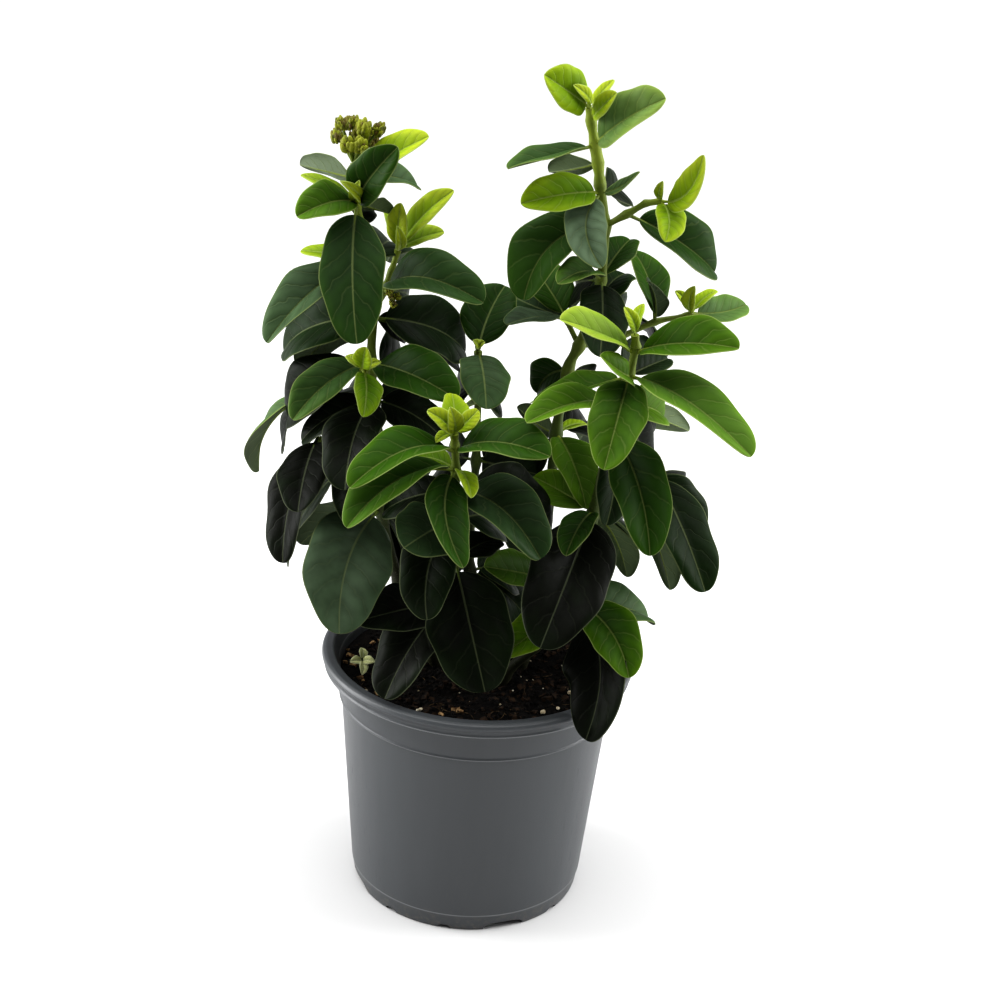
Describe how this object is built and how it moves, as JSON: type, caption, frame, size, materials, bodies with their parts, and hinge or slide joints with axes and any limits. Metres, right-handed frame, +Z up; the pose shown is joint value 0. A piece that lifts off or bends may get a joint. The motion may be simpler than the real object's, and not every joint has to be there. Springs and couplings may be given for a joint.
{
  "type": "potted laurustinus",
  "caption": "Young laurustinus shrub with leafy woody stems, bright young tips and flower buds, in a tapered plastic nursery pot filled with potting mix.",
  "frame": {"origin": "centre of the pot's base, on the surface the pot stands on", "axes": "+Z up, the plant's best side towards -Y"},
  "size_m": [0.2667, 0.2191, 0.4597],
  "materials": {
    "pot": "satin moulded polypropylene, mid grey",
    "soil": "moist dark potting mix",
    "leafy": "leathery dark green leaves on brown-green woody stems",
    "young": "soft satin lime-green young leaves and stems",
    "buds": "dull olive and reddish flower buds",
    "seedling": "pale green seed leaves"
  },
  "bodies": {
    "root": {"flower_buds_fork": "buds", "flower_buds_top": "buds", "leafy_stem_back": "leafy", "leafy_stem_front_right": "leafy", "leafy_stem_left": "leafy", "leafy_stem_middle": "leafy", "leafy_stem_right": "leafy", "low_sprout": "young", "pot": "pot", "seedling": "seedling", "soil": "soil", "young_front_right": "young", "young_left": "young", "young_left_fork": "young", "young_left_side": "young", "young_middle": "young", "young_right": "young", "young_right_back": "young", "young_right_side": "young"}
  },
  "joints": []
}
